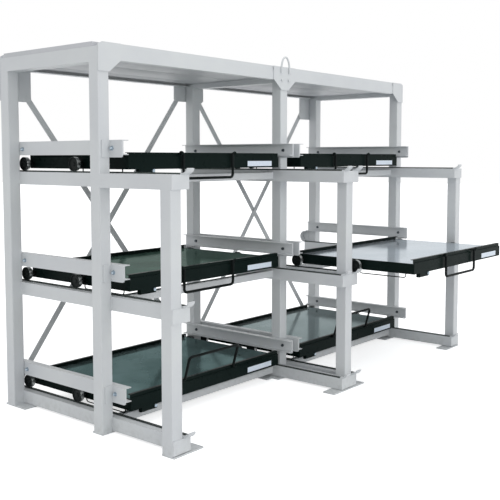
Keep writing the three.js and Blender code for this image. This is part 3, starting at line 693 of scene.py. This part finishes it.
def wheel_tread(outer, inner):
    return [
        (wheel_radius - tread_lip, outer - tread_lip - casting_round),
        (wheel_radius, outer - tread_chamfer),
        (wheel_radius, inner + tread_chamfer),
        (wheel_radius - tread_lip, inner + tread_lip + casting_round)]


for deck in deck_names:
    for place in ("middle", "rear"):
        node = f"{place}_wheels_{deck}"
        low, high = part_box(node)
        centre = (low + high) / 2
        outer = (high.x - low.x) / 2
        inner = outer - wheel_width
        wheels = bmesh.new()
        for side in (-1, 1):
            turned_part(wheels, wheel_front(outer), centre, side)
            turned_part(wheels, wheel_back(inner), centre, side)
            cast_faces = set(wheels.faces)
            turned_part(wheels, wheel_tread(outer, inner), centre, side)
            for polygon in set(wheels.faces) - cast_faces:
                polygon.material_index = 1
        settle(
            wheels, f"turned_{node}", (casting_black, tread_steel), node,
            sharp_angle=30, replaced=(node,))

# Pull handles: round bar bent to a bail, its ends turned out through the ears of the deck and
# upset behind them, dipped in black enamel.
handle_radius = 0.0082
handle_span = 0.434
handle_leg = 0.147
bail_corner = 0.022
pin_corner = 0.010
pin_reach = 0.022
pin_head_rim = 0.002
pin_head_wall = 0.003
pin_head_edge = 0.0008
raised_turn = math.radians(-164)
raised_level = 1
bail_enamel = enamel(
    "bail_enamel", clean=(0.004, 0.006, 0.006), dusty=(0.009, 0.012, 0.012),
    scuffed=(0.03, 0.03, 0.03), scuff_height=0.01, gloss=0.38, sheen=0.05)


def rounded_path(corners, radii, steps=8):
    points = [corners[0]]
    for before, corner, after, radius in zip(corners, corners[1:], corners[2:], radii):
        to_before = (before - corner).normalized()
        to_after = (after - corner).normalized()
        half_angle = to_before.angle(to_after) / 2
        centre = corner + (to_before + to_after).normalized() * (radius / math.sin(half_angle))
        start = corner + to_before * (radius / math.tan(half_angle)) - centre
        end = corner + to_after * (radius / math.tan(half_angle)) - centre
        axis = start.cross(end).normalized()
        for step in range(steps + 1):
            points.append(centre + Matrix.Rotation(start.angle(end) * step / steps, 3, axis) @ start)
    points.append(corners[-1])
    return points


joints = {joint["name"]: joint for joint in frame["joints"]}
half_span = handle_span / 2
pin_end = half_span + pin_reach
bail_corners = [
    Vector((-pin_end, 0, 0)), Vector((-half_span, 0, 0)), Vector((-half_span, 0, -handle_leg)),
    Vector((half_span, 0, -handle_leg)), Vector((half_span, 0, 0)), Vector((pin_end, 0, 0))]
bail_path = rounded_path(bail_corners, (pin_corner, bail_corner, bail_corner, pin_corner))
for deck in deck_names:
    pivot = Vector(joints[f"handle_turn_{deck}"]["pos_m"])
    turn = Matrix.Rotation(raised_turn if deck.endswith(f"_{raised_level}") else 0, 3, "X")
    bail = bmesh.new()
    swept_bar(bail, [pivot + turn @ point for point in bail_path], handle_radius, sides=20)
    for side in (-1, 1):
        disc(
            bail, pivot + Vector((side * pin_end, 0, 0)), (side, 0, 0),
            handle_radius + pin_head_rim, pin_head_wall, edge=pin_head_edge)
    settle(
        bail, f"bail_{deck}", bail_enamel, f"handle_{deck}",
        sharp_angle=40, replaced=(f"handle_{deck}",))

# Studio: a pale floor that goes white towards the picture and keeps the rack's shadow, white
# surroundings, and two large soft lamps, one in front and one overhead.
floor_reach = 40
floor_grey = (0.78, 0.79, 0.80, 1)
white = (1, 1, 1, 1)
floor_glow = 0.66
light_level = 0.88
rack_centre = (0, 0, 1.0)


def seen_directly(tree):
    path_kind = tree.nodes.new("ShaderNodeLightPath")
    seen = path_kind.outputs["Is Camera Ray"]
    for ray in ("Is Glossy Ray", "Is Transmission Ray"):
        either = tree.nodes.new("ShaderNodeMath")
        either.operation = "MAXIMUM"
        tree.links.new(seen, either.inputs[0])
        tree.links.new(path_kind.outputs[ray], either.inputs[1])
        seen = either.outputs[0]
    return seen


def lamp(name, place, size, power):
    light = bpy.data.lights.new(name, "AREA")
    light.shape = "DISK"
    light.size = size
    light.energy = power
    holder = bpy.data.objects.new(name, light)
    bpy.context.scene.collection.objects.link(holder)
    holder.location = place
    holder.rotation_euler = (Vector(rack_centre) - Vector(place)).to_track_quat("-Z", "Y").to_euler()


floor = bmesh.new()
bmesh.ops.create_grid(floor, x_segments=1, y_segments=1, size=floor_reach)
floor_mesh = bpy.data.meshes.new("floor")
floor.to_mesh(floor_mesh)
floor.free()
floor_object = bpy.data.objects.new("floor", floor_mesh)
bpy.context.scene.collection.objects.link(floor_object)
floor_finish = bpy.data.materials.new("floor")
floor_finish.use_nodes = True
floor_tree = floor_finish.node_tree
floor_tree.nodes.clear()
matt = floor_tree.nodes.new("ShaderNodeBsdfDiffuse")
matt.inputs["Color"].default_value = floor_grey
glow = floor_tree.nodes.new("ShaderNodeEmission")
glow.inputs["Color"].default_value = white
glow_level = between(floor_tree, seen_directly(floor_tree), 0, 1, 0, floor_glow)
floor_tree.links.new(glow_level, glow.inputs["Strength"])
both = floor_tree.nodes.new("ShaderNodeAddShader")
floor_out = floor_tree.nodes.new("ShaderNodeOutputMaterial")
floor_tree.links.new(matt.outputs[0], both.inputs[0])
floor_tree.links.new(glow.outputs[0], both.inputs[1])
floor_tree.links.new(both.outputs[0], floor_out.inputs["Surface"])
floor_object.data.materials.append(floor_finish)

surroundings = bpy.data.worlds.new("surroundings")
bpy.context.scene.world = surroundings
surroundings.use_nodes = True
world_tree = surroundings.node_tree
backdrop = world_tree.nodes["Background"]
backdrop.inputs["Color"].default_value = white
world_level = between(world_tree, seen_directly(world_tree), 0, 1, light_level, 1)
world_tree.links.new(world_level, backdrop.inputs["Strength"])
lamp("key_lamp", (-1.6, -7.5, 2.6), size=5.0, power=85)
lamp("overhead_lamp", (0.5, -1.0, 6.0), size=4.0, power=50)
bpy.context.scene.view_settings.view_transform = "Standard"
